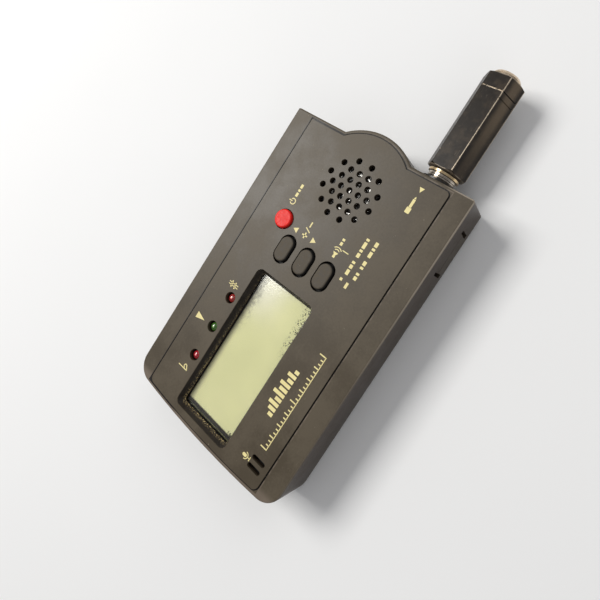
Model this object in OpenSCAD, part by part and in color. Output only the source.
// Pocket instrument tuner with a jack adapter plugged into its input.
// It lies on its back: +Z is up through the face and +X runs to the jack end.
// The origin is the centre of the flat back. All sizes are in millimetres.

/* [Case] */
// Width of the case across its long sides
case_w = 61; // [56:0.5:66]
// Distance from the origin to the straight jack end
end_x = 49; // [46:0.5:54]
// Distance from the origin to the crown of the bowed end
bow_x = 49.05; // [46:0.05:54]
// Radius of the bowed end
bow_r = 300; // [150:10:600]
// Height of the border of the face above the back
border_z = 16.7; // [15.5:0.1:19]
// Height of the raised panel above the border
panel_step = 0.3; // [0.1:0.1:0.6]
// Height of the seam between the two halves of the case
seam_z = 4.4; // [3.6:0.1:6]
// Thickness of the side walls
wall = 1.6; // [1.2:0.1:2]
// Thickness of the face
face_t = 1.8; // [1.4:0.1:2.2]
// Thickness of the back plate
back_t = 1.6; // [1.2:0.1:2]
// Rounding of the back edges
back_edge_r = 2.2; // [1:0.1:2.3]
// Rounding of the front edges
front_edge_r = 0.5; // [0.2:0.1:1]
// Corner radius at the bowed end
bow_corner_r = 6; // [4:0.5:8]
// Corner radius at the jack end
jack_corner_r = 1; // [0.5:0.1:3]
// Radius of the bulge round the speaker
bulge_r = 18; // [16:0.5:20]

/* [Panel] */
// Half width of the raised panel
panel_half_w = 24; // [20:0.5:26]
// Border left outside the panel at both ends
panel_inset = 1.4; // [1:0.1:3]
// Width of the groove round the panel
groove_w = 0.4; // [0.3:0.1:1.2]
// Depth of the groove below the border
groove_depth = 0.15; // [0.1:0.05:0.8]

/* [Display] */
// Length of the display opening
window_l = 48.2; // [40:0.1:52]
// Width of the display opening
window_w = 21.8; // [18:0.1:24]
// Slope of the opening's edge, measured level
window_bevel = 1.2; // [0.5:0.1:2]
// Depth from the panel to the clear window
window_depth = 2.4; // [1.5:0.1:3]

/* [Controls] */
// Length of a key cap
key_l = 7.8; // [6:0.1:9]
// Width of a key cap
key_w = 4.6; // [3:0.1:5]
// Clearance between a cap and its hole, sideways
key_gap = 0.55; // [0.2:0.05:0.8]
// Height of the caps above the panel
key_rise = 0.9; // [0:0.1:1.5]
// Travel of a key
key_travel = 0.8; // [0.4:0.1:1]
// Pitch between the keys
key_pitch = 7.4; // [6.5:0.1:8]
// Radius of the round power button
power_r = 2.8; // [2:0.1:3.5]

/* [Sound] */
// Pitch of the inner speaker holes
grille_pitch = 3.06; // [2.5:0.02:3.5]
// Radius of a speaker hole
grille_hole_r = 0.95; // [0.6:0.05:1.2]
// Radius of the outer ring of speaker holes
grille_ring_r = 8.64; // [8:0.02:9]
// Outer radius of the speaker
speaker_r = 11.4; // [10:0.1:12]

/* [Adapter] */
// Radius of the jack bore
jack_bore_r = 3.2; // [3.1:0.01:3.3]
// Radius of the plug
plug_r = 3.14; // [3:0.01:3.2]
// Distance across the flats of the barrel
barrel_flats = 10.8; // [9.5:0.1:12]
// Length of the barrel
barrel_l = 29.1; // [24:0.1:35]
// Radius of the adapter's own socket
socket_r = 1.8; // [1.75:0.01:1.9]
// Depth of the adapter's own socket
socket_depth = 15.4; // [14:0.1:16]

/* [Battery] */
// Diameter of a cell
cell_d = 10.5; // [10:0.1:10.5]
// Length of a cell without its button
cell_l = 43.5; // [42:0.1:44]
// Thickness of the battery door
door_t = 1.3; // [1:0.1:1.6]

/* [Hidden] */
$fn = 96;
eps = 0.01;
half_w = case_w / 2;
bow_cx = bow_r - bow_x;
panel_z = border_z + panel_step;
roof_z = panel_z - face_t;
reach = 70;
panel_bow_r = 2;
panel_jack_r = 1.2;
speaker_at = [35.1, 0.7];
jack_at = [-17.2, 8.5];
grille_inner_holes = 6;
grille_outer_holes = 12;

window_at = [-21.5, 1.2];
window_corner_r = 2;
rim_bottom_z = panel_z - window_depth;
tape_t = 0.15;
lens_t = 0.5;
lens_z = rim_bottom_z - tape_t - lens_t;
lens_l = 49.8;
lens_w = 23.4;
film_t = 0.15;
glass_t = 0.55;
glass_z = lens_z - 0.1 - film_t - 2 * glass_t;
glass_l = 48;
glass_low_y = -9.9;

key_x = 11.15;
key_mid_y = 0.72;
key_ys = [key_mid_y + key_pitch, key_mid_y, key_mid_y - key_pitch];
power_at = [18.3, 13.7];
cap_edge_r = 0.6;
flange_t = 0.8;
flange_z = roof_z - 0.05 - flange_t;
pill_t = 0.6;

board_z = 8.8;
board_t = 1.2;
board_top = board_z + board_t;
pill_z = board_top + 0.05 + key_travel;
led_y = 15;
led_xs = [-10.3, -20.6, -30.9];
led_r = 1.5;
led_top_z = 16.5;
led_base_z = 11.4;

mic_at = [-41.1, -20.2];
mic_slot_l = 4.6;
mic_slot_w = 1.4;
mic_slot_dx = 1.3;

case_screw_at = [[-43, 24.4], [44, 25.4], [44.3, -26], [7.3, -26]];
board_screw_at = [[-44, 19.2], [4.5, 21.5], [13.2, -26]];
boss_r = 2.5;
board_boss_r = 2.2;
screw_r = 1.05;
screw_head_r = 1.9;

cell_z = 1.6 + cell_d / 2;
cell_a_y = -23.4;
cell_b_y = -12.75;
bay_x0 = -45.15;
bay_x1 = 3.5;
bay_y0 = -28.85;
bay_y1 = -7.2;
bay_wall = 0.8;
cell_a_x = -41.4;
cell_b_x = -43.75;
nub_l = 1;
contact_t = 0.3;
plus_tab_y = -21.9;
minus_tab_y = -14.25;
contact_foot_x = 5.8;

slot_xs = [28.3, 41.3];
slot_w = 1;
slot_top_z = 10.6;
tab_top_z = 7.65;
tab_gap = 0.15;
tab_t = 1.2;

nose_r = 5.2;
nose_x = 50;
jack_x0 = 18.2;
jack_x1 = end_x - wall - 0.5;
jack_w = 10.2;
jack_h = 10.6;
shoulder_r = 4.1;
collar_x = 51.9;
collar_t = 0.65;
collar_r = 4.6;
neck_r = 3.4;
neck_l = 5.9;
barrel_x = 53;
barrel_end = barrel_x + barrel_l;
barrel_turn = 26.4;
barrel_groove_w = 0.28;
barrel_groove_depth = 0.2;
ring_end = barrel_end + 1.8;

// ---------- outlines ----------

function right_corner(side, inset, w, r) = [end_x - inset - r, side * (w - r)];

function bow_corner(side, inset, w, r) =
  [bow_cx - sqrt(pow(bow_r - inset - r, 2) - pow(w - r, 2)), side * (w - r)];

function bow_wedge(side, c) =
  let (d = [c[0] - bow_cx, c[1]], k = reach / 2 / norm(d))
  [[0, 0], [0, side * 20], [-20, side * 20], [d[0] * k, d[1] * k]];

function right_wedge(side) = [[0, 0], [0, side * 20], [20, side * 20], [20, 0]];

// Cuts a lower right corner round
module low_fillet(x, z, r) {
  translate([x - r, z])
    difference() {
      translate([0, -1]) square([r + 1, r + 1]);
      translate([0, r]) circle(r);
    }
}

// Cuts an upper right corner round
module high_fillet(x, z, r) {
  translate([x - r, z - r])
    difference() {
      square([r + 1, r + 1]);
      circle(r);
    }
}

// Right half of an upright section with rounded outer corners
module half_section(span, z0, z1, low_r, high_r) {
  difference() {
    translate([0, z0]) square([span, z1 - z0]);
    if (low_r > 0) low_fillet(span, z0, low_r);
    if (high_r > 0) high_fillet(span, z1, high_r);
  }
}

module round_block(r, z0, z1, low_r, high_r) {
  rotate_extrude() half_section(r, z0, z1, low_r, high_r);
}

// Takes a corner down to a round one
module corner_cut(c, wedge, r, z0, z1, low_r, high_r) {
  translate([c[0], c[1], 0])
    difference() {
      translate([0, 0, z0 - 1]) linear_extrude(z1 - z0 + 2) polygon(wedge);
      round_block(r, z0, z1, low_r, high_r);
    }
}

// The case form, drawn in by an inset
module case_block(inset, z0, z1, low_r, high_r) {
  w = half_w - inset;
  r_bow = bow_corner_r - inset;
  r_jack = max(jack_corner_r - inset, 0.3);
  difference() {
    intersection() {
      rotate([90, 0, 90])
        linear_extrude(3 * reach, center = true)
          for (m = [0, 1])
            mirror([m, 0]) half_section(w, z0, z1, low_r, high_r);
      rotate([90, 0, 0])
        linear_extrude(2 * reach, center = true)
          translate([-reach, 0])
            half_section(reach + end_x - inset, z0, z1, low_r, high_r);
      translate([bow_cx, 0, 0])
        round_block(bow_r - inset, z0, z1, low_r, high_r);
    }
    for (side = [-1, 1]) {
      c = bow_corner(side, 0, half_w, bow_corner_r);
      corner_cut(c, bow_wedge(side, c), r_bow, z0, z1, low_r, high_r);
      corner_cut(right_corner(side, inset, w, r_jack), right_wedge(side), r_jack, z0, z1, 0, 0);
    }
  }
  translate([speaker_at[0], speaker_at[1], 0])
    round_block(bulge_r - inset, z0, z1, low_r, high_r);
}

// A flat outline that follows the case. Its bow corners are drawn in by a hair, so that they
// cross the bow instead of just touching it.
module case_outline(inset, w, r_bow, r_jack) {
  draw_in = 0.06;
  difference() {
    intersection() {
      translate([-reach, -w]) square([reach + end_x - inset, 2 * w]);
      translate([bow_cx, 0]) circle(bow_r - inset);
    }
    for (side = [-1, 1]) {
      c = bow_corner(side, inset, w, r_bow);
      translate([c[0] - draw_in, c[1]])
        difference() {
          polygon(bow_wedge(side, c));
          circle(r_bow);
        }
    }
    translate(right_corner(-1, inset, w, r_jack))
      difference() {
        polygon(right_wedge(-1));
        circle(r_jack);
      }
  }
  translate(speaker_at) circle(bulge_r - inset);
}

module slot_shape(l, w) {
  for (side = [-1, 1])
    translate([side * (l - w) / 2, 0]) circle(w / 2);
  square([l - w, w], center = true);
}

module round_rect(l, w, r) {
  square([l - 2 * r, w], center = true);
  square([l, w - 2 * r], center = true);
  for (sx = [-1, 1])
    for (sy = [-1, 1])
      translate([sx * (l / 2 - r), sy * (w / 2 - r)]) circle(r);
}

// A box given by two opposite corners
module span_box(a, b) {
  translate(a) cube(b - a);
}

module tube(r_out, r_in, h) {
  difference() {
    cylinder(h, r_out, r_out);
    translate([0, 0, -1]) cylinder(h + 2, r_in, r_in);
  }
}

module at_jack(x) {
  translate([x, jack_at[0], jack_at[1]]) rotate([0, 90, 0]) children();
}

module jack_wall_hole() {
  at_jack(end_x - wall - 1) cylinder(wall + 3, nose_r + 0.05, nose_r + 0.05);
}

// ---------- case ----------

module window_opening() {
  spread = 0.1;
  hull() {
    translate([window_at[0], window_at[1], panel_z + spread])
      linear_extrude(eps)
        round_rect(window_l + spread, window_w + spread, window_corner_r, $fn = 32);
    translate([window_at[0], window_at[1], rim_bottom_z - eps])
      linear_extrude(eps)
        round_rect(window_l - 2 * window_bevel, window_w - 2 * window_bevel, 1, $fn = 32);
  }
}

module panel_groove() {
  translate([0, 0, border_z - groove_depth])
    linear_extrude(groove_depth + 0.2)
      difference() {
        case_outline(panel_inset - groove_w, panel_half_w + groove_w,
                     panel_bow_r + groove_w, panel_jack_r + groove_w);
        case_outline(panel_inset, panel_half_w, panel_bow_r, panel_jack_r);
      }
}

module grille_holes() {
  translate([speaker_at[0], speaker_at[1], roof_z - 1]) {
    cylinder(face_t + 2, grille_hole_r, grille_hole_r);
    for (i = [0 : grille_inner_holes - 1])
      rotate(30 + 60 * i) {
        translate([grille_pitch, 0, 0]) cylinder(face_t + 2, grille_hole_r, grille_hole_r);
        translate([2 * grille_pitch, 0, 0]) cylinder(face_t + 2, grille_hole_r, grille_hole_r);
        rotate(30)
          translate([sqrt(3) * grille_pitch, 0, 0])
            cylinder(face_t + 2, grille_hole_r, grille_hole_r);
      }
    for (i = [0 : grille_outer_holes - 1])
      rotate(15 + 30 * i)
        translate([grille_ring_r, 0, 0]) cylinder(face_t + 2, grille_hole_r, grille_hole_r);
  }
}

module control_holes() {
  for (y = key_ys)
    translate([key_x, y, roof_z - 1])
      linear_extrude(face_t + 2) slot_shape(key_l + 2 * key_gap + 0.2, key_w + 2 * key_gap - 0.1);
  translate([power_at[0], power_at[1], roof_z - 1])
    cylinder(face_t + 2, power_r + 0.3, power_r + 0.3);
  for (x = led_xs)
    translate([x, led_y, roof_z - 1]) cylinder(face_t + 2, led_r + 0.25, led_r + 0.25);
  for (side = [-1, 1])
    translate([mic_at[0] + side * mic_slot_dx, mic_at[1], roof_z - 1])
      linear_extrude(face_t + 2) rotate(90) slot_shape(mic_slot_l, mic_slot_w);
}

module latch_slots() {
  y0 = -half_w - 1;
  y1 = -half_w + wall + 1;
  for (x = slot_xs)
    span_box([x - slot_w / 2, y0, seam_z - 1], [x + slot_w / 2, y1, slot_top_z]);
  span_box([slot_xs[0], y0, seam_z - 1], [slot_xs[1], y1, tab_top_z + tab_gap]);
}

module boss(at, r, z0) {
  translate([at[0], at[1], z0])
    difference() {
      cylinder(roof_z - z0 + 0.2, r, r);
      translate([0, 0, -1]) cylinder(7, screw_r - 0.1, screw_r - 0.1);
    }
}

module front_case() {
  color([0.3, 0.27, 0.235]) {
    difference() {
      union() {
        case_block(0, seam_z, border_z, 0, front_edge_r);
        translate([0, 0, border_z - 1])
          linear_extrude(panel_step + 1)
            case_outline(panel_inset, panel_half_w, panel_bow_r, panel_jack_r);
      }
      difference() {
        case_block(wall, seam_z - 2, roof_z, 0, 0);
        span_box([-46.9, -11.2, rim_bottom_z], [4.1, 13.1, roof_z + 1]);
      }
      panel_groove();
      window_opening();
      grille_holes();
      control_holes();
      latch_slots();
      jack_wall_hole();
    }
    for (p = case_screw_at) boss(p, boss_r, seam_z + 0.7);
    for (p = board_screw_at) boss(p, board_boss_r, board_top + 0.02);
    translate([speaker_at[0], speaker_at[1], roof_z - 1.6])
      tube(speaker_r + 1, speaker_r + 0.15, 1.7);
    translate([mic_at[0], mic_at[1], roof_z - 1.8])
      tube(4.8, 3.85, 1.9);
  }
}

module door_space(gap) {
  span_box([-reach, bay_y0 - gap, -1], [bay_x1 + 0.5 + gap, bay_y1 + gap, door_t + gap]);
  span_box([-reach, bay_y0 - 0.7 - gap, door_t - 0.5 - gap],
           [bay_x1 - 0.5, bay_y1 + 0.7 + gap, door_t + gap]);
}

module rear_lip() {
  difference() {
    case_block(wall + 0.08, seam_z - 1, seam_z + 1, 0, 0);
    case_block(wall + 0.78, seam_z - 2, seam_z + 2, 0, 0);
    span_box([-reach, -half_w, 0], [bay_x1 + 1, bay_y1, seam_z + 2]);
    span_box([slot_xs[0] - 1.2, -half_w, 0], [slot_xs[1] + 1.2, -half_w + 5, seam_z + 2]);
    span_box([end_x - 5, jack_at[0] - jack_w / 2 - 0.3, 0],
             [end_x + 1, jack_at[0] + jack_w / 2 + 0.3, seam_z + 2]);
    for (p = case_screw_at)
      translate([p[0], p[1], 0]) cylinder(20, boss_r + 0.3, boss_r + 0.3);
  }
}

module bay_walls() {
  tab_half = 1.5;
  difference() {
    union() {
      span_box([bay_x0 - bay_wall, -26.3, 1], [bay_x0, bay_y1, 12.2]);
      span_box([bay_x0 - bay_wall, bay_y1, 1], [bay_x1 + 1.05, bay_y1 + bay_wall, 12.2]);
      span_box([bay_x1 + 0.05, bay_y0, 1], [bay_x1 + 1.05, bay_y1, 12.2]);
      span_box([bay_x0 - bay_wall, -26.3, 12.2], [bay_x1 + 1.05, -11.2, 13]);
      span_box([-30, bay_y1, 1], [bay_x1 + 1.05, bay_y1 + 2, 3.4]);
    }
    translate([mic_at[0], mic_at[1], 10]) cylinder(5, 5, 5);
    for (y = [plus_tab_y, minus_tab_y])
      span_box([bay_x1 - 1, y - tab_half, 10.5], [bay_x1 + 2, y + tab_half, 11.1]);
  }
}

module rear_case() {
  color([0.27, 0.245, 0.21])
    difference() {
      union() {
        difference() {
          case_block(0, 0, seam_z, back_edge_r, 0);
          case_block(wall + 0.4, back_t, seam_z + 1, 0, 0);
        }
        rear_lip();
        bay_walls();
        intersection() {
          case_block(0, 0, tab_top_z, 0, 0);
          span_box([slot_xs[0] + slot_w / 2 + tab_gap, -half_w, 3],
                   [slot_xs[1] - slot_w / 2 - tab_gap, -half_w + tab_t, tab_top_z]);
        }
        for (p = case_screw_at)
          translate([p[0], p[1], 1]) cylinder(seam_z - 0.35, boss_r, boss_r);
      }
      span_box([bay_x0, bay_y0, -1], [bay_x1 + 0.05, bay_y1, 12.2]);
      door_space(0.06);
      for (p = case_screw_at)
        translate([p[0], p[1], 0]) {
          translate([0, 0, -1]) cylinder(20, screw_r + 0.15, screw_r + 0.15);
          translate([0, 0, -1]) cylinder(3.4, screw_head_r + 0.2, screw_head_r + 0.2);
        }
      translate([8.9, -3.1, -1]) cube([34.2, 24.2, 1.2]);
      jack_wall_hole();
    }
}

module battery_door() {
  color([0.27, 0.245, 0.21])
    difference() {
      intersection() {
        case_block(0, 0, seam_z, back_edge_r, 0);
        door_space(0);
      }
      for (i = [0 : 6])
        translate([-12 + i * 1.7, -18, 0]) cube([0.8, 12, 0.7], center = true);
      translate([-24, -18, -1]) linear_extrude(1.35) polygon([[-4, 0], [0, 4], [0, -4]]);
    }
}

module rating_label() {
  color([0.75, 0.74, 0.7])
    translate([9.1, -2.9, 0.05]) cube([33.8, 23.8, 0.15]);
}

module screw(at, head_z, l) {
  translate([at[0], at[1], head_z])
    difference() {
      union() {
        cylinder(1.1, screw_head_r, screw_head_r);
        cylinder(l, screw_r - 0.1, screw_r - 0.1);
      }
      for (a = [0, 90])
        rotate(a) cube([2.2, 0.45, 1.1], center = true);
    }
}

module case_screws() {
  color([0.6, 0.6, 0.62])
    for (p = case_screw_at) screw(p, 1.3, 8);
}

module board_screws() {
  color([0.62, 0.6, 0.55])
    for (p = board_screw_at) screw(p, board_z - 1.12, 5);
}

// ---------- display ----------

module display_window() {
  color([0.85, 0.88, 0.88, 0.35])
    translate([window_at[0], window_at[1], lens_z])
      linear_extrude(lens_t) round_rect(lens_l, lens_w, 1.5);
}

module window_tape() {
  color([0.05, 0.05, 0.05])
    translate([window_at[0], window_at[1], lens_z + lens_t])
      linear_extrude(tape_t)
        difference() {
          round_rect(lens_l, lens_w, 1.5);
          round_rect(window_l - 2 * window_bevel + 1, window_w - 2 * window_bevel + 1, 1);
        }
}

module lcd_front_film() {
  color([0.72, 0.76, 0.55, 0.35])
    span_box([-43.8, -9.3, glass_z + 2 * glass_t], [1.1, 11.2, glass_z + 2 * glass_t + film_t]);
}

module lcd_glass() {
  x0 = window_at[0] - glass_l / 2;
  color([0.8, 0.85, 0.75, 0.35]) {
    span_box([x0, glass_low_y, glass_z + glass_t], [x0 + glass_l, 13, glass_z + 2 * glass_t]);
    span_box([x0, glass_low_y, glass_z], [x0 + glass_l, 11.6, glass_z + glass_t]);
  }
}

module lcd_reflector() {
  color([0.82, 0.82, 0.6])
    span_box([-45, -9.5, glass_z - film_t], [2, 11.2, glass_z]);
}

module lcd_holder() {
  deck_z = glass_z - film_t - 0.05;
  color([0.12, 0.12, 0.12]) {
    difference() {
      span_box([-46.3, -6.2, deck_z - 1], [3.6, 11.4, deck_z]);
      span_box([-38, -1, deck_z - 2], [-5, 7, deck_z + 1]);
    }
    for (x = [-46.3, 2.7])
      span_box([x, -6.2, board_top], [x + 0.7, 11.4, glass_z + 2 * glass_t]);
    for (x = [-38, -6])
      span_box([x, -6.2, board_top], [x + 1, -4.7, deck_z - 0.5]);
  }
}

module contact_strip() {
  color([0.85, 0.55, 0.6])
    span_box([-43, 11.75, board_top], [0, 12.9, glass_z + glass_t]);
}

// ---------- board ----------

module main_board() {
  color([0.1, 0.32, 0.16])
    translate([0, 0, board_z])
      linear_extrude(board_t)
        difference() {
          case_outline(wall + 0.6, half_w - wall - 0.6, 3, 3);
          translate([-reach, -half_w]) square([reach + bay_x1 + 1.35, half_w - 5.9]);
          translate([jack_x0 - 1, -half_w]) square([reach, half_w - 11.3]);
          translate([case_screw_at[1][0] - boss_r - 0.3, case_screw_at[1][1] - boss_r - 0.3]) square(9);
          translate([0, -half_w]) square([case_screw_at[3][0] + boss_r + 0.3, 7.3]);
          translate(speaker_at) circle(7.2);
          for (p = case_screw_at) translate(p) circle(boss_r + 0.3);
          for (p = board_screw_at) translate(p) circle(screw_r + 0.1);
        }
}

module switch_pads() {
  color([0.1, 0.1, 0.1])
    translate([0, 0, board_top])
      linear_extrude(0.04) {
        for (y = key_ys)
          for (side = [-1, 1])
            translate([key_x + side * 1.1, y]) square([1.9, 2.6], center = true);
        for (side = [-1, 1])
          translate([power_at[0] + side * 1.1, power_at[1]]) square([1.9, 2.6], center = true);
      }
}

module web_dome(r_low, r_high) {
  tube_t = 0.4;
  difference() {
    cylinder(2.2, r_low, r_high);
    translate([0, 0, -eps]) cylinder(2.2 + 2 * eps, r_low - tube_t, r_high - tube_t);
  }
}

module keypad_mat() {
  mat_t = 0.7;
  mat_z = board_top + 0.06;
  color([0.16, 0.15, 0.14]) {
    translate([0, 0, mat_z])
      linear_extrude(mat_t)
        difference() {
          union() {
            translate([key_x - 5.6, -11.2]) square([11.2, 24.2]);
            translate([12.5, 9.4]) square([10.2, 8.8]);
          }
          for (y = key_ys) translate([key_x, y]) circle(3.1);
          translate(power_at) circle(3.1);
        }
    for (y = key_ys) translate([key_x, y, mat_z]) web_dome(3.5, 3);
    translate([power_at[0], power_at[1], mat_z]) web_dome(3.5, 3);
  }
}

// One key: raised cap, hidden flange and foot
module key_at(y) {
  cap_z = flange_z + flange_t;
  cap_h = panel_z + key_rise - cap_z;
  translate([key_x, y, 0]) {
    for (side = [-1, 1])
      translate([side * (key_l - key_w) / 2, 0, 0])
        round_block(key_w / 2, cap_z, cap_z + cap_h, 0, cap_edge_r);
    rotate([90, 0, 90])
      linear_extrude(key_l - key_w, center = true)
        for (m = [0, 1])
          mirror([m, 0]) half_section(key_w / 2, cap_z, cap_z + cap_h, 0, cap_edge_r);
    translate([0, 0, flange_z])
      linear_extrude(flange_t) slot_shape(key_l + 2.4, key_w + 2.2);
    translate([0, 0, pill_z + pill_t]) cylinder(flange_z - pill_z - pill_t, 2.2, 2.2);
  }
}

module contact_pill(at) {
  color([0.07, 0.07, 0.07])
    translate([at[0], at[1], pill_z]) cylinder(pill_t, 1.8, 1.8);
}

module calibrate_up_key() {
  color([0.2, 0.19, 0.18]) key_at(key_ys[0]);
}

module calibrate_down_key() {
  color([0.2, 0.19, 0.18]) key_at(key_ys[1]);
}

module sound_key() {
  color([0.2, 0.19, 0.18]) key_at(key_ys[2]);
}

module power_button() {
  color([0.85, 0.12, 0.12])
    translate([power_at[0], power_at[1], 0]) {
      round_block(power_r, flange_z, panel_z + key_rise + 0.1, 0, 0.5);
      round_block(power_r + 1, flange_z, flange_z + flange_t, 0, 0);
      round_block(2.2, pill_z + pill_t, flange_z, 0, 0);
    }
}

module power_contact() {
  contact_pill(power_at);
}

module calibrate_up_contact() {
  contact_pill([key_x, key_ys[0]]);
}

module calibrate_down_contact() {
  contact_pill([key_x, key_ys[1]]);
}

module sound_contact() {
  contact_pill([key_x, key_ys[2]]);
}

module led(x) {
  dome_z = led_top_z - led_r;
  translate([x, led_y, 0]) {
    translate([0, 0, led_base_z]) cylinder(1, 1.9, 1.9);
    translate([0, 0, led_base_z]) cylinder(dome_z - led_base_z, led_r, led_r);
    translate([0, 0, dome_z]) sphere(led_r);
  }
}

module led_sharp() {
  color([0.7, 0.08, 0.08]) led(led_xs[0]);
}

module led_in_tune() {
  color([0.1, 0.4, 0.15]) led(led_xs[1]);
}

module led_flat() {
  color([0.7, 0.08, 0.08]) led(led_xs[2]);
}

module led_legs() {
  color([0.75, 0.75, 0.75])
    for (x = led_xs)
      for (side = [-1, 1])
        translate([x + side * 1.27, led_y, board_top])
          cylinder(led_base_z - board_top, 0.25, 0.25);
}

module tuner_chip() {
  color([0.06, 0.06, 0.06])
    translate([22.5, 19, board_z - 1.6]) {
      cube([8, 8, 1.4]);
      for (a = [0 : 3])
        translate([4, 4, 0.3])
          rotate(90 * a)
            for (i = [-4 : 4])
              translate([4.5, i * 0.8, 0.65]) cube([1.2, 0.35, 1.3], center = true);
    }
}

module amplifier_chip() {
  color([0.06, 0.06, 0.06])
    translate([7, -17, board_z - 1.6]) {
      cube([4, 5, 1.4]);
      for (side = [-1, 1])
        for (i = [-1.5 : 1.5])
          translate([2 + side * 2.5, 2.5 + i * 1.27, 0.95]) cube([1.2, 0.4, 1.3], center = true);
    }
}

module crystal() {
  color([0.75, 0.75, 0.77])
    translate([34.3, 20.6, board_z - 2.6])
      rotate(90) {
        linear_extrude(2.5) slot_shape(9, 3.6);
        translate([0, 0, 2.5]) linear_extrude(0.1) slot_shape(9.8, 4.2);
      }
}

module capacitors() {
  color([0.15, 0.17, 0.3])
    for (p = [[-2, 22], [-38, 24.5], [13, -19.5]])
      translate([p[0], p[1], board_z - 5.4])
        difference() {
          cylinder(5.4, 2.5, 2.5);
          translate([0, 0, 4]) tube(3, 2.3, 0.4);
        }
}

module chip_parts() {
  color([0.55, 0.45, 0.33]) {
    for (i = [0 : 7])
      span_box([-30 + i * 3.2, 24, board_z - 0.6], [-28.4 + i * 3.2, 24.8, board_z]);
    for (i = [0 : 4])
      span_box([40, 14 + i * 2, board_z - 0.6], [41.6, 14.8 + i * 2, board_z]);
    for (i = [0 : 3])
      span_box([7 + i * 2.4, 12, board_z - 0.6], [7.8 + i * 2.4, 13.6, board_z]);
  }
}

// ---------- sound ----------

module at_speaker() {
  translate([speaker_at[0], speaker_at[1], 0]) children();
}

module speaker_gasket() {
  color([0.08, 0.08, 0.08])
    at_speaker() translate([0, 0, roof_z - 0.5]) tube(speaker_r, 10.1, 0.48);
}

module speaker_frame() {
  color([0.5, 0.5, 0.5])
    at_speaker()
      rotate_extrude()
        polygon([[5.9, 10.9], [6.6, 10.9], [10.4, 13.2], [11.3, 13.2], [11.3, 14.68],
                 [10.3, 14.68], [10.3, 13.6], [6.3, 11.4], [5.9, 11.4]]);
}

module speaker_magnet() {
  color([0.4, 0.4, 0.42])
    at_speaker()
      difference() {
        translate([0, 0, 9.1]) cylinder(2.6, 5.88, 5.88);
        translate([0, 0, 9.9]) tube(4.9, 4.1, 5);
      }
}

module speaker_cone() {
  color([0.7, 0.7, 0.68])
    at_speaker()
      rotate_extrude()
        polygon([[0, 13.85], [2, 13.65], [3.6, 13.2], [4.5, 12.6], [7, 13.3], [9.2, 14.05],
                 [10.1, 14], [10.1, 14.15], [9.2, 14.2], [7, 13.45], [4.5, 12.75],
                 [3.6, 13.35], [2, 13.8], [0, 14]]);
}

module speaker_coil() {
  color([0.72, 0.4, 0.2])
    at_speaker() translate([0, 0, 10.6]) tube(4.65, 4.35, 2.0);
}

// A round wire from point to point
module wire(points, r) {
  for (i = [0 : len(points) - 2]) {
    d = points[i + 1] - points[i];
    l = norm(d);
    translate(points[i])
      rotate([0, acos(d[2] / l), atan2(d[1], d[0])])
        cylinder(l, r, r);
    translate(points[i + 1]) sphere(r);
  }
}

module speaker_leads() {
  color([0.6, 0.1, 0.1])
    for (y = [2.6, 4.6])
      wire([[25.2, y, 12.6], [22.6, y, 12.6], [22.6, y, board_top + 0.35]], 0.3);
}

module microphone() {
  color([0.6, 0.6, 0.6])
    translate([mic_at[0], mic_at[1], 12.8]) cylinder(2.2, 3, 3);
}

module microphone_boot() {
  color([0.1, 0.1, 0.1])
    translate([mic_at[0], mic_at[1], 12.45])
      difference() {
        cylinder(2.7, 3.8, 3.8);
        translate([0, 0, 0.33]) cylinder(5, 3.02, 3.02);
        translate([0, 0, -1]) cylinder(5, 1.5, 1.5);
      }
}

module microphone_leads() {
  color([0.7, 0.7, 0.7])
    for (i = [0, 1])
      wire([[mic_at[0] + 4.8, -16.6 - i * 1.4, 13.45], [5.8, -16.6 - i * 1.4, 13.45],
            [5.8, -16.6 - i * 1.4, board_top + 0.36]], 0.32);
}

// ---------- jack and adapter ----------

module jack_body() {
  color([0.06, 0.06, 0.06])
    difference() {
      union() {
        span_box([jack_x0, jack_at[0] - jack_w / 2, jack_at[1] - jack_h / 2],
                 [jack_x1, jack_at[0] + jack_w / 2, jack_at[1] + jack_h / 2]);
        at_jack(jack_x1 - 0.5) cylinder(nose_x - jack_x1 + 0.5, nose_r, nose_r);
      }
      at_jack(jack_x0 + 1) cylinder(60, jack_bore_r, jack_bore_r);
      span_box([jack_x0 - 1, jack_at[0] - 1.1, jack_at[1] + 2], [34, jack_at[0] + 1.1, jack_at[1] + 4.1]);
      span_box([jack_x0 - 1, jack_at[0] - 1.1, jack_at[1] - 4.1], [44, jack_at[0] + 1.1, jack_at[1] - 2]);
    }
}

module jack_tip_spring() {
  y = jack_at[0];
  z = jack_at[1] + jack_bore_r + 0.1;
  color([0.8, 0.75, 0.6]) {
    span_box([16.4, y - 1, z], [33.5, y + 1, z + 0.35]);
    span_box([16.4, y - 1, board_top + 0.02], [16.75, y + 1, z + 0.35]);
  }
}

module jack_sleeve_spring() {
  y = jack_at[0];
  z = jack_at[1] - jack_bore_r - 0.45;
  color([0.8, 0.75, 0.6]) {
    span_box([16.4, y - 1, z], [43.5, y + 1, z + 0.35]);
    span_box([16.4, y - 1, z], [16.75, y + 1, board_z - 0.02]);
  }
}

module adapter_tip() {
  color([0.85, 0.83, 0.78])
    at_jack(0) {
      rotate_extrude()
        polygon([[0, 19.7], [1.1, 19.7], [2, 20.4], [3.1, 22.6], [3.1, 23.4], [2.2, 24.9],
                 [2.2, 25.6], [3.1, 26.4], [3.1, 26.9], [0, 26.9]]);
      translate([0, 0, 26]) cylinder(30, 1.2, 1.2);
    }
}

module adapter_insulator() {
  color([0.04, 0.04, 0.04])
    at_jack(0)
      difference() {
        union() {
          translate([0, 0, 26.9]) cylinder(1, 3.1, 3.1);
          translate([0, 0, 27]) cylinder(28, 1.8, 1.8);
        }
        translate([0, 0, 20]) cylinder(50, 1.2, 1.2);
      }
}

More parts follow.
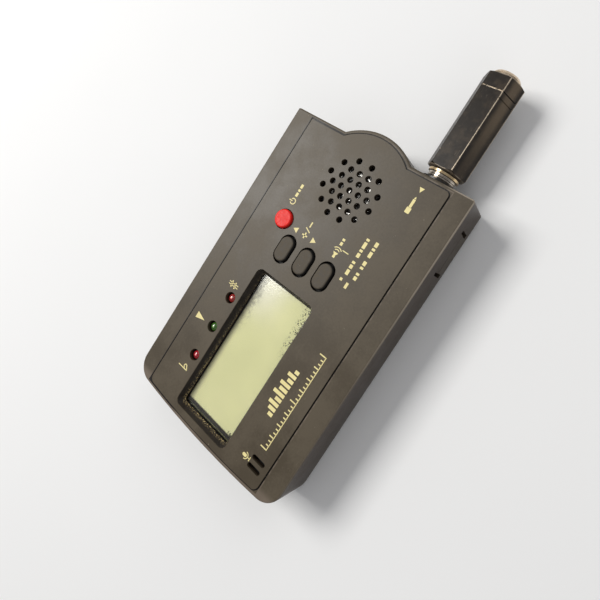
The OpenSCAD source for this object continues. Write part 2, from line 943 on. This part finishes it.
module adapter_sleeve() {
  color([0.86, 0.84, 0.8])
    at_jack(0)
      difference() {
        union() {
          translate([0, 0, 27.9]) cylinder(collar_x - 27.9, plug_r, plug_r);
          translate([0, 0, nose_x + 0.1])
            cylinder(collar_x - nose_x - 0.1, shoulder_r, shoulder_r);
        }
        translate([0, 0, 20]) cylinder(50, 1.82, 1.82);
      }
}

module adapter_collar() {
  color([0.8, 0.66, 0.42])
    at_jack(0)
      difference() {
        union() {
          translate([0, 0, collar_x]) cylinder(collar_t, collar_r, collar_r);
          translate([0, 0, collar_x]) cylinder(barrel_x - collar_x + neck_l, neck_r, neck_r);
        }
        translate([0, 0, 40]) cylinder(30, 1.82, 1.82);
      }
}

module adapter_barrel() {
  round_r = barrel_flats / 2 / cos(30);
  color([0.1, 0.095, 0.09])
    at_jack(0)
      rotate(180 + barrel_turn)
        difference() {
          intersection() {
            translate([0, 0, barrel_x]) cylinder(barrel_l, round_r, round_r, $fn = 6);
            rotate_extrude()
              polygon([[0, barrel_x], [barrel_flats / 2, barrel_x], [round_r, barrel_x + 0.6],
                       [round_r, barrel_end - 0.7], [barrel_flats / 2 - 0.5, barrel_end],
                       [0, barrel_end]]);
          }
          translate([0, 0, barrel_x - 1]) cylinder(neck_l + 1.2, neck_r + eps, neck_r + eps);
          translate([0, 0, barrel_x + 5]) cylinder(barrel_l, 3.21, 3.21);
          barrel_ring_cut(barrel_x + 24.3);
          barrel_flat_cut(barrel_x + 22.4);
        }
}

// A shallow groove that follows the flats
module barrel_ring_cut(x) {
  inner_r = (barrel_flats / 2 - barrel_groove_depth) / cos(30);
  translate([0, 0, x])
    difference() {
      cylinder(barrel_groove_w, barrel_flats, barrel_flats);
      translate([0, 0, -1]) cylinder(3, inner_r, inner_r, $fn = 6);
    }
}

// A shallow groove across one flat
module barrel_flat_cut(x) {
  rotate(30)
    translate([barrel_flats / 2 - barrel_groove_depth, -barrel_flats / 2, x])
      cube([1, barrel_flats, barrel_groove_w]);
}

module adapter_socket() {
  color([0.86, 0.84, 0.8])
    at_jack(0)
      difference() {
        union() {
          translate([0, 0, ring_end - socket_depth]) cylinder(socket_depth - 0.5, 3.2, 3.2);
          rotate_extrude()
            polygon([[0, barrel_end], [4.3, barrel_end], [4.3, barrel_end + 0.7],
                     [3.8, barrel_end + 1.4], [2.9, ring_end], [0, ring_end]]);
        }
        translate([0, 0, ring_end - socket_depth - 1])
          cylinder(socket_depth + 5, socket_r, socket_r);
      }
}

// ---------- batteries ----------

// Lies along X with its button end at +X when turn is 0
module along_x(x, y, turn) {
  translate([x, y, cell_z]) rotate([0, 90 + turn, 0]) children();
}

module cell_can() {
  can_r = cell_d / 2 - 0.1;
  cylinder(cell_l, can_r - 0.4, can_r - 0.4);
  translate([0, 0, 0.01]) cylinder(0.4, can_r, can_r);
  cylinder(cell_l + nub_l, 1.9, 1.9);
}

module cell_jacket() {
  translate([0, 0, 0.45]) tube(cell_d / 2, cell_d / 2 - 0.49, cell_l - 0.45);
}

module battery_1_can() {
  color([0.75, 0.75, 0.77]) along_x(cell_a_x, cell_a_y, 0) cell_can();
}

module battery_1_jacket() {
  color([0.15, 0.25, 0.45]) along_x(cell_a_x, cell_a_y, 0) cell_jacket();
}

module battery_2_can() {
  color([0.75, 0.75, 0.77]) along_x(cell_b_x + cell_l, cell_b_y, 180) cell_can();
}

module battery_2_jacket() {
  color([0.15, 0.25, 0.45]) along_x(cell_b_x + cell_l, cell_b_y, 180) cell_jacket();
}

module battery_link_contact() {
  color([0.8, 0.8, 0.8])
    span_box([bay_x0 + 0.05, -26.2, 3], [bay_x0 + 0.05 + contact_t, -9.8, 11]);
}

// Contact plate at the board end with a tab bent over onto the board
module end_contact(y, tab_y) {
  plate_half = 4;
  tab_half = 1.2;
  tab_z = 10.55;
  bent_z = tab_z + contact_t;
  span_box([bay_x1 - contact_t, y - plate_half, 3], [bay_x1, y + plate_half, bent_z]);
  translate([0, tab_y, 0]) {
    span_box([bay_x1 - contact_t, -tab_half, tab_z], [contact_foot_x, tab_half, bent_z]);
    span_box([contact_foot_x - contact_t, -tab_half, board_top + 0.02],
             [contact_foot_x, tab_half, bent_z]);
  }
}

module battery_plus_contact() {
  color([0.8, 0.8, 0.8]) end_contact(cell_a_y, plus_tab_y);
}

module battery_minus_contact() {
  color([0.8, 0.8, 0.8]) end_contact(cell_b_y, minus_tab_y);
}

// A square-wire coil of a few turns
module coil(l, r, turns) {
  wire_t = 0.45;
  linear_extrude(l, twist = -360 * turns, slices = 16 * turns, $fn = 12)
    polygon(concat([for (a = [0 : 25 : 150]) r * [cos(a), sin(a)]],
                   [for (a = [150 : -25 : 0]) (r - wire_t) * [cos(a), sin(a)]]));
}

module battery_springs() {
  link_x = bay_x0 + 0.05 + contact_t;
  color([0.82, 0.82, 0.84]) {
    translate([link_x, cell_a_y, cell_z])
      rotate([0, 90, 0]) coil(cell_a_x - link_x, 2.6, 3);
    translate([cell_b_x + cell_l, cell_b_y, cell_z])
      rotate([0, 90, 0]) coil(bay_x1 - contact_t - cell_b_x - cell_l, 2.6, 3);
  }
}

// ---------- output ----------

front_case();
rear_case();
battery_door();
rating_label();
case_screws();
board_screws();
display_window();
window_tape();
lcd_front_film();
lcd_glass();
lcd_reflector();
lcd_holder();
contact_strip();
main_board();
switch_pads();
keypad_mat();
power_button();
power_contact();
calibrate_up_key();
calibrate_up_contact();
calibrate_down_key();
calibrate_down_contact();
sound_key();
sound_contact();
led_sharp();
led_in_tune();
led_flat();
led_legs();
speaker_gasket();
speaker_frame();
speaker_magnet();
speaker_cone();
speaker_coil();
speaker_leads();
microphone();
microphone_boot();
microphone_leads();
jack_body();
jack_tip_spring();
jack_sleeve_spring();
battery_1_can();
battery_1_jacket();
battery_2_can();
battery_2_jacket();
battery_link_contact();
battery_plus_contact();
battery_minus_contact();
battery_springs();
tuner_chip();
amplifier_chip();
crystal();
capacitors();
chip_parts();
adapter_tip();
adapter_insulator();
adapter_sleeve();
adapter_collar();
adapter_barrel();
adapter_socket();
